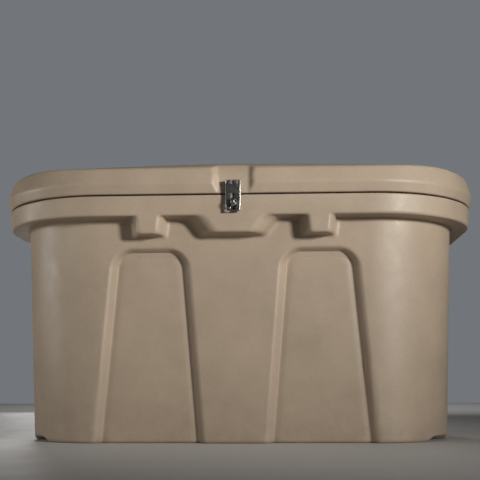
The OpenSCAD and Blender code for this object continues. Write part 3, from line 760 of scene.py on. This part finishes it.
def mesh_of(name, bm):
    """The bmesh's faces as a mesh, all facing out."""
    bmesh.ops.recalc_face_normals(bm, faces=bm.faces)
    mesh = bpy.data.meshes.new(name)
    bm.to_mesh(mesh)
    bm.free()
    return mesh


def finished(mesh, modifiers):
    """The mesh after its modifiers, with flat faces left flat and sharp edges kept."""
    piece = in_scene(mesh.name, mesh)
    for kind, settings in modifiers:
        modifier = piece.modifiers.new(kind.lower(), kind)
        for setting, value in settings.items():
            setattr(modifier, setting, value)
    graph = bpy.context.evaluated_depsgraph_get()
    result = bpy.data.meshes.new_from_object(piece.evaluated_get(graph))
    bpy.data.objects.remove(piece)
    result.polygons.foreach_set("use_smooth", [True] * len(result.polygons))
    result.set_sharp_from_angle(angle=math.radians(32))
    result.materials.clear()
    return result


def hook(points, thickness):
    """A strip's outline along a path of points: out along one side and back along the other."""
    path = np.array(points)
    along = np.gradient(path, axis=0)
    normal = np.stack([-along[:, 1], along[:, 0]], 1) / np.hypot(*along.T)[:, None]
    outer, inner = path + normal * thickness / 2, path - normal * thickness / 2
    return [tuple(p) for p in np.concatenate([outer, inner[::-1]])]


def keyhole_half_width(z, eye_z):
    """The arm's opening: wide at the bottom, room for the eye in its middle, then a slit."""
    width = 1.8 * MM
    for rise, radius in ((-9 * MM, 10 * MM), (-0.8 * MM, 8.2 * MM), (5.5 * MM, 5.5 * MM)):
        width = max(width, math.sqrt(max(radius ** 2 - (z - eye_z - rise) ** 2, 0)))
    return width


def bar(bm, low, high):
    """Adds a plain block between two corners, to be bevelled with the rest."""
    corners = [(low[0], low[1]), (high[0], low[1]), (high[0], high[1]), (low[0], high[1])]
    prism(bm, corners, [lambda x, y, z=z: (x, y, z) for z in (low[2], high[2])])


def rounded(half_w, half_h, r, count=6):
    """A rectangle's outline with rounded corners."""
    points = []
    for quarter, (sx, sy) in enumerate(((1, 1), (-1, 1), (-1, -1), (1, -1))):
        for angle in np.radians(np.linspace(90 * quarter, 90 * quarter + 90, count)):
            points.append((sx * (half_w - r) + r * math.cos(angle), sy * (half_h - r) + r * math.sin(angle)))
    return points


def bevel(width, angle=40, segments=2):
    return ("BEVEL", {"width": width, "segments": segments, "limit_method": "ANGLE",
                      "angle_limit": math.radians(angle)})


def cut(mesh, cutter_mesh, *after):
    """The mesh with the cutter's shape taken out, then the given modifiers."""
    cutter = in_scene("cutter", cutter_mesh)
    result = finished(mesh, [
        ("BOOLEAN", {"operation": "DIFFERENCE", "solver": "EXACT", "object": cutter}), *after])
    bpy.data.objects.remove(cutter)
    return result


SHEET = 1.4 * MM                        # the arm's sheet steel
FLANGE = 7.6 * MM                       # depth of its side flanges
BEND_R = 1.7 * MM                       # outer radius of the bends between front and flanges


def keyhole_cutter(low, eye_z):
    """A block in the shape of the arm's opening, with its points closer at both ends."""
    heights = [low.z + 1.2 * MM + 41 * MM * (1 - math.cos(a)) / 2 for a in np.linspace(0.12, math.pi, 44)]
    outline = [(keyhole_half_width(z, eye_z), z) for z in heights]
    outline += [(-x, z) for x, z in outline[::-1]]
    bm = bmesh.new()
    prism(bm, outline, [lambda x, z, y=y: (x, y, z) for y in (low.y - 3 * MM, low.y + 4 * MM)])
    return mesh_of("cutter", bm)


def arm_plate(low, half, plate_top):
    """The arm's front and its two bent flanges, narrower towards the lower end, with the keyhole cut out."""
    eye_z = low.z + 21 * MM
    inner_r = BEND_R - SHEET
    angles = np.radians(np.linspace(0, 90, 7))
    outer = [(half - BEND_R + BEND_R * math.sin(a), BEND_R - BEND_R * math.cos(a)) for a in angles]
    inner = [(half - BEND_R + inner_r * math.sin(a), BEND_R - inner_r * math.cos(a)) for a in angles[::-1]]
    side = outer + [(half, FLANGE), (half - SHEET, FLANGE)] + inner
    outline = side + [(-x, y) for x, y in side[::-1]]

    def station(z):
        share = np.clip((eye_z + 4 * MM - z) / (25 * MM), 0, 1)
        taper = 1 - 0.10 * share ** 1.5
        lift = 0.55 * MM * np.clip((low.z + 1.8 * MM - z) / (1.8 * MM), 0, 1)
        return lambda x, y: (x * taper, low.y + max(y, lift), z)

    heights = [low.z, low.z + 0.6 * MM, low.z + 1.8 * MM] + list(np.linspace(low.z + 4 * MM, plate_top, 16))
    bm = bmesh.new()
    prism(bm, outline, [station(z) for z in heights])
    return cut(mesh_of("channel", bm), keyhole_cutter(low, eye_z), bevel(0.3 * MM))


def arm_ears(low, half, plate_top, pin_y, pin_z):
    """The flanges' upper ends, which run on above the plate beside the curls."""
    reach, top = 7.3 * MM, pin_z + 3.1 * MM
    ear = [(low.y + FLANGE, plate_top - 2 * MM), (low.y + FLANGE, top)]
    for angle in np.radians(np.linspace(112, 168, 8)):
        ear.append((pin_y + reach * math.cos(angle), min(pin_z + reach * math.sin(angle), top)))
    ear += [(low.y + 0.25 * MM, pin_z - 2 * MM), (low.y + 0.25 * MM, plate_top - 2 * MM)]
    bm = bmesh.new()
    for side in (-1, 1):
        inner_x, outer_x = side * (half - SHEET), side * (half - 0.03 * MM)
        prism(bm, ear, [lambda y, z, x=x: (x, y, z) for x in (inner_x, outer_x)])
    return finished(mesh_of("ears", bm), [bevel(0.3 * MM, 50)])


def arm_curls(low, plate_top, pin_y, pin_z):
    """Two curls that wind from the plate's top over the pin."""
    start_r, end_r = pin_y - low.y - 3.6 * MM, 2.6 * MM
    path = [(low.y + SHEET / 2, plate_top - 0.1 * MM), (low.y + SHEET / 2, plate_top + 0.8 * MM)]
    for share in np.linspace(0, 1, 26):
        angle = math.radians(190) - share * math.radians(290)
        radius = start_r + (end_r - start_r) * share
        path.append((pin_y + radius * math.cos(angle), pin_z + min(radius * math.sin(angle), 2.7 * MM)))
    curl = hook(path, SHEET - 0.06 * MM)
    bm = bmesh.new()
    for x_low, x_high in ((-11.7 * MM, -2.5 * MM), (2.5 * MM, 11.7 * MM)):
        prism(bm, curl, [lambda y, z, x=x: (x, y, z) for x in (x_low, x_high)])
    return finished(mesh_of("curls", bm), [bevel(0.25 * MM, 50)])


def make_hasp_arm():
    low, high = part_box("hasp_arm")
    pin_y, pin_z = joints["hasp_swing"]["pos_m"][1:]
    plate_top = pin_z - 6.8 * MM
    plate = arm_plate(low, high.x, plate_top)
    ears = arm_ears(low, high.x, plate_top, pin_y, pin_z)
    curls = arm_curls(low, plate_top, pin_y, pin_z)
    arm = place("hasp_arm_plate", plate, "hasp_steel", "hasp_arm")
    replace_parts(arm, "hasp_arm")
    # the ears and curls take the lighter copy of the hasp steel: a painted highlight
    place("hasp_arm_ears", ears, "hasp_steel", "hasp_arm", highlight_painted_steel)
    place("hasp_arm_curls", curls, "hasp_steel", "hasp_arm", highlight_painted_steel)


def make_staple_plate():
    """The eye's base plate, with rounded corners, parallel to the leaning rim, in a near black steel with painted
    shade.
    """
    low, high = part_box("staple_plate")
    middle = (low + high) / 2
    lean = math.atan(RIM_LEAN / (RIM_TOP - RIM_BOTTOM))
    half_h = (high.z - low.z) / 2 / math.cos(lean) - 0.15 * MM
    bm = bmesh.new()

    def station(out):
        return lambda x, up: (x, middle.y - out - up * math.sin(lean), middle.z + up * math.cos(lean))

    prism(bm, rounded(high.x, half_h, 4 * MM), [station(-1.4 * MM), station(1.4 * MM)])
    plate = finished(mesh_of("staple_plate", bm), [bevel(0.6 * MM, 50, 3)])
    # the plate takes the near black copy of the hasp steel: painted shade for the shadow it lies in behind the arm
    piece = place("staple_plate_stamped", plate, "hasp_steel", "tub", shade_painted_steel)
    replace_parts(piece, "staple_plate")


# ---- turned and pressed parts

def line_frame(origin, direction, across=(1.0, 0.0, 0.0)):
    """Maps (across, square to it, distance along the line) to a point."""
    origin, axis, across = Vector(origin), Vector(direction).normalized(), Vector(across)
    u = (across - axis * across.dot(axis)).normalized()
    v = axis.cross(u)
    return lambda a, b, t: origin + u * a + v * b + axis * t


def lathe(bm, where, steps, count=32):
    """Adds a turned solid: steps are (radius, distance along the axis)."""
    angles = np.linspace(0, 2 * math.pi, count, endpoint=False)
    sew(bm, [[bm.verts.new(where(r * math.cos(a), r * math.sin(a), t)) for a in angles] for r, t in steps])


def solid_piece(name, bm, slot, body, *modifiers):
    """Places what was built in the bmesh, with its modifiers applied."""
    return place(name, finished(mesh_of(name, bm), modifiers), slot, body)


def screw(bm, where, length, head_r):
    """A tapping screw with a domed head and a six-lobed recess; the head's seat is at 0."""
    head_h = head_r * 0.6
    shank_r = head_r / 1.9
    count = 36
    angles = np.linspace(0, 2 * math.pi, count, endpoint=False)
    rings = []
    for share in (0.16, 0.3, 0.38, 0.44, 0.5, 0.62, 0.8, 0.93, 1.0):
        ring = []
        for angle in angles:
            lobe = 0.40 + 0.06 * math.cos(6 * angle)
            sunk = 0.62 * np.clip((lobe - share) / 0.07 + 0.5, 0, 1)
            dome = 1 - 0.30 * share ** 2 - 0.45 * np.clip((share - 0.86) / 0.14, 0, 1) ** 2
            r = share * head_r
            ring.append(bm.verts.new(where(r * math.cos(angle), r * math.sin(angle), head_h * (dome - sunk))))
        rings.append(ring)
    for r, t in ((head_r, 0.0), (shank_r, 0.0), (shank_r, -length + 1.5 * shank_r), (shank_r * 0.4, -length)):
        rings.append([bm.verts.new(where(r * math.cos(a), r * math.sin(a), t)) for a in angles])
    sew(bm, rings)


def islands(node):
    """The separate solids of a CAD node, each as an array of its points."""
    bm = bmesh.new()
    bm.from_mesh(nodes[node].data)
    bmesh.ops.remove_doubles(bm, verts=bm.verts, dist=0.01 * MM)
    left, found = set(bm.verts), []
    while left:
        stack, group = [left.pop()], []
        while stack:
            vert = stack.pop()
            group.append(tuple(vert.co))
            for edge in vert.link_edges:
                other = edge.other_vert(vert)
                if other in left:
                    left.remove(other)
                    stack.append(other)
        found.append(np.array(group))
    bm.free()
    return sorted(found, key=lambda points: tuple(points.mean(0).round(4)))


def make_screws(node, body, facing):
    """New screws in the places of a CAD node's; facing maps a screw's middle to its outward direction."""
    bm = bmesh.new()
    for points in islands(node):
        middle = points.mean(0)
        axis = np.array(facing(middle))
        axis = axis / np.linalg.norm(axis)
        heights = points @ axis
        centre = (points.min(0) + points.max(0)) / 2
        reach = points - centre
        reach -= np.outer(reach @ axis, axis)
        head_r = float(np.linalg.norm(reach, axis=1).max())
        seat = heights.max() - head_r * 0.605
        origin = centre + axis * (seat - centre @ axis)
        across = (0.0, 0.0, 1.0) if abs(axis[2]) < 0.5 else (1.0, 0.0, 0.0)
        screw(bm, line_frame(origin, axis, across), float(seat - heights.min()), head_r)
    piece = solid_piece(node + "_turned", bm, "screw_steel", body)
    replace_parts(piece, node)


def make_all_screws():
    for node, body, facing in (
        ("hinge_tub_screws", "tub", lambda p: (0.0, 1.0, 0.0)),
        ("hinge_lid_screws", "lid", lambda p: (0.0, 1.0, 0.0)),
        ("hasp_screws", "lid", lambda p: (0.0, -math.cos(POCKET_LEAN), math.sin(POCKET_LEAN))),
        ("staple_screws", "tub", lambda p: (0.0, RIM_BOTTOM - RIM_TOP, -RIM_LEAN)),
        ("strut_anchor_screws", "tub", lambda p: (-math.copysign(1.0, p[0]), 0.0, WALL_LEAN / RIM_BOTTOM)),
        ("strut_bracket_screws", "lid", lambda p: (0.0, 0.0, -1.0)),
    ):
        make_screws(node, body, facing)


def make_hinge():
    """Two leaves whose knuckles alternate along the pin."""
    pin_at = joints["lid_hinge"]["pos_m"]
    length, knuckles, gap = 840 * MM, 24, 0.3 * MM
    leaf_t, leaf_h, knuckle_r, bore = 1.5 * MM, 34 * MM, 4.48 * MM, 2.1 * MM
    pitch = length / knuckles
    for first, up, node, body in ((0, -1, "hinge_tub_leaf", "tub"), (1, 1, "hinge_lid_leaf", "lid")):
        bm = bmesh.new()
        z_near, z_far = pin_at[2] + up * (knuckle_r + 0.5 * MM), pin_at[2] + up * leaf_h
        bar(bm, (-length / 2, BACK, min(z_near, z_far)), (length / 2, BACK + leaf_t, max(z_near, z_far)))
        for i in range(first, knuckles, 2):
            x = -length / 2 + i * pitch + gap
            end = pitch - 2 * gap
            where = line_frame((x, pin_at[1], pin_at[2]), (1.0, 0.0, 0.0), (0.0, 0.0, 1.0))
            lathe(bm, where, [
                (bore, 0.4 * MM), (bore + 0.3 * MM, 0), (knuckle_r - 0.4 * MM, 0), (knuckle_r, 0.4 * MM),
                (knuckle_r, end - 0.4 * MM), (knuckle_r - 0.4 * MM, end), (bore + 0.3 * MM, end),
                (bore, end - 0.4 * MM),
            ], 28)
            low, high = sorted((pin_at[2], z_near + up * 0.2 * MM))
            bar(bm, (x, BACK + 0.45 * MM, low), (x + end, BACK + leaf_t - 0.02 * MM, high))
        piece = solid_piece(node + "_rolled", bm, "hinge_steel", body, bevel(0.25 * MM, 60))
        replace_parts(piece, node)


def make_strut_end(node, body, where, at, way):
    """A round eye across the strut and a short neck along it; way is 1 or -1, towards its other end."""
    eye = [(4.2, -6.5), (4.8, -7), (8.2, -7), (9, -6.1), (9, 6.1), (8.2, 7), (4.8, 7), (4.2, 6.5)]
    eye_at = where(0, 0, at)
    neck = line_frame(eye_at, where(0, 0, at + way) - eye_at)
    bm = bmesh.new()
    lathe(bm, line_frame(eye_at, (1.0, 0.0, 0.0), (0.0, 0.0, 1.0)), in_mm(eye), 36)
    lathe(bm, neck, in_mm([(6.4, 3), (6.4, 11.6), (5.4, 12.8)]), 28)
    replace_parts(solid_piece(node + "_moulded", bm, "strut_plastic", body), node)


def make_struts():
    """Gas struts: a painted tube with a rolled end, a chromed rod, and moulded ends with round eyes."""
    rod_r = 4 * MM
    tube_from, tube_to = 13 * MM, 149.4 * MM
    rolled_end = [(9, -9), (8.3, -8), (8.3, -6.5), (9, -5.5), (9, -1.5), (7.5, 0), (4.8, 0), (4.3, -1)]
    length = 196.8 * MM                 # between the two eyes, with the lid shut
    for side in ("left", "right"):
        origin = joints["strut_swing_" + side]["pos_m"]
        where = line_frame(origin, joints["strut_slide_" + side]["axis"])
        bm = bmesh.new()
        lathe(bm, where, in_mm([(5, 0), (8, 0.3), (9, 2)], tube_from) + in_mm(rolled_end, tube_to), 40)
        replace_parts(solid_piece("strut_tube_" + side, bm, "strut_paint", "strut_cylinder_" + side),
                    "strut_cylinder_" + side)
        bm = bmesh.new()
        lathe(bm, where, [(rod_r, tube_from + 14 * MM), (rod_r, length - 14 * MM)], 32)
        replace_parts(solid_piece("strut_shaft_" + side, bm, "rod_chrome", "strut_rod_" + side),
                    "strut_rod_" + side)
        make_strut_end("strut_lower_end_" + side, "strut_cylinder_" + side, where, 0.0, 1)
        make_strut_end("strut_upper_end_" + side, "strut_rod_" + side, where, length, -1)


def make_drain():
    """A flanged bushing in the end wall, and a plug with a finger grip."""
    way = Vector(joints["drain_plug_pull"]["axis"])
    low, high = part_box("drain_plug_seal")
    seal_at = (low + high) / 2
    where = line_frame(seal_at - way * 0.5 * MM, way, (0.0, 1.0, 0.0))
    bm = bmesh.new()
    lathe(bm, where, in_mm([
        (9.2, -20), (9.6, -20.5), (12.4, -20.5), (13, -19.8), (13, 2), (21.6, 2), (22, 2.4), (22, 4.8),
        (21.4, 6), (20, 6.9), (10.2, 6.9), (9.3, 6),
    ]), 48)
    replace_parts(solid_piece("drain_bushing_moulded", bm, "drain_plastic", "tub"), "drain_bushing")
    bm = bmesh.new()
    lathe(bm, where, in_mm([
        (6.8, -10.4), (7.5, -9.8), (7.5, 7.3), (14.6, 7.3), (15, 7.8), (14.4, 10.4), (13.6, 11.2), (6, 11.3),
    ]), 48)
    grip = rounded(12.8 * MM, 3.9 * MM, 2.4 * MM)
    prism(bm, grip, [lambda a, b, t=t: where(a, b, t) for t in (10.8 * MM, 22.9 * MM)])
    plug = solid_piece("drain_plug_moulded", bm, "drain_plastic", "drain_plug", bevel(0.6 * MM, 50, 3))
    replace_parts(plug, "drain_plug")


make_hasp_arm()
make_staple_plate()
make_all_screws()
make_hinge()
make_struts()
make_drain()


# ---- floor, light and camera

def plain(name, colour, rough):
    """A matt surface with a very faint mottling."""
    s = Shader(name)
    s.colour(s.blend(s.spread(s.noise(1.3, 4.0), 0.3, 0.7), tuple(v * 0.96 for v in colour), colour))
    s.roughness(s.spread(s.noise(9.0, 3.0), 0.3, 0.7, rough, rough + 0.1))
    return s.material


def make_floor():
    mesh = bpy.data.meshes.new("floor")
    reach, far_edge = 14.0, 6.2
    corners = [(-reach, -reach, 0), (reach, -reach, 0), (reach, far_edge, 0), (-reach, far_edge, 0)]
    mesh.from_pydata(corners, [], [(0, 1, 2, 3)])
    mesh.materials.append(plain("pale floor", (0.60, 0.60, 0.59), 0.6))
    floor = in_scene("floor", mesh)


def area_light(name, azimuth, elevation, distance, aim, size, power, colour, spread):
    """A square light; azimuth 0 is straight in front of the chest and turns towards its right side."""
    data = bpy.data.lights.new(name, "AREA")
    data.size = size
    data.energy = power
    data.color = colour
    data.spread = math.radians(spread)
    azimuth, elevation = math.radians(azimuth), math.radians(elevation)
    level = math.cos(elevation)
    away = Vector((math.sin(azimuth) * level, -math.cos(azimuth) * level, math.sin(elevation)))
    light = in_scene(name, data)
    light.location = Vector(aim) + away * distance
    light.rotation_euler = (-away).to_track_quat("-Z", "Y").to_euler()


def make_world():
    """A grey backdrop for the camera, and a darker even light for everything else."""
    world = bpy.data.worlds.new("studio")
    world.use_nodes = True
    tree = world.node_tree
    seen = tree.nodes.new("ShaderNodeLightPath").outputs["Is Camera Ray"]
    backdrop = tree.nodes.new("ShaderNodeMix")
    backdrop.data_type = "RGBA"
    backdrop.inputs[MIX_A].default_value = (0.050, 0.048, 0.047, 1.0)
    backdrop.inputs[MIX_B].default_value = (*srgb(114, 118, 122), 1.0)
    tree.links.new(seen, backdrop.inputs["Factor"])
    tree.links.new(backdrop.outputs[MIX_RESULT], tree.nodes["Background"].inputs["Color"])
    bpy.context.scene.world = world


def make_lights():
    # name, azimuth, elevation, distance, aim, size, power, colour, spread
    for settings in (
        ("key", 46, 3.5, 3.4, (-0.14, -0.2, 0.81), 0.45, 9.5, (1.0, 0.985, 0.955), 50),
        ("left fill", -50, 2, 2.2, (-0.3, -0.2, 0.62), 0.8, 0.8, (1.0, 0.98, 0.95), 70),
        ("left side", -86, 2, 2.2, (-0.45, -0.10, 0.54), 0.7, 1.8, (1.0, 0.96, 0.90), 55),
        ("rear", 196, 12, 3.0, (0.0, 0.3, 0.35), 1.6, 9.0, (1.0, 0.99, 0.97), 90),
        ("far floor", 0, 35, 4.5, (0.0, 6.5, 0.0), 4.0, 42.0, (1.0, 1.0, 1.0), 110),
    ):
        area_light(*settings)
    make_world()


def make_camera():
    """A long lens low down in front of the chest, a little to its right, looking up at it."""
    data = bpy.data.cameras.new("camera")
    data.sensor_width = 36.0
    data.lens = 66.57
    spot = Vector((0.110, FRONT - 2.060, 0.125))
    pitch, yaw, roll = 0.1671, -0.0457, -0.0031
    ahead = Vector((math.sin(yaw) * math.cos(pitch), math.cos(yaw) * math.cos(pitch), math.sin(pitch)))
    right = Vector((math.cos(yaw), -math.sin(yaw), 0.0))
    up = right.cross(ahead)
    right, up = (
        math.cos(roll) * right + math.sin(roll) * up,
        math.cos(roll) * up - math.sin(roll) * right,
    )
    camera = in_scene("camera", data)
    turned = Matrix((right, up, -ahead)).transposed().to_4x4()
    camera.matrix_world = Matrix.Translation(spot) @ turned
    bpy.context.scene.camera = camera


make_floor()
make_lights()
make_camera()
bpy.context.scene.view_settings.view_transform = "Standard"
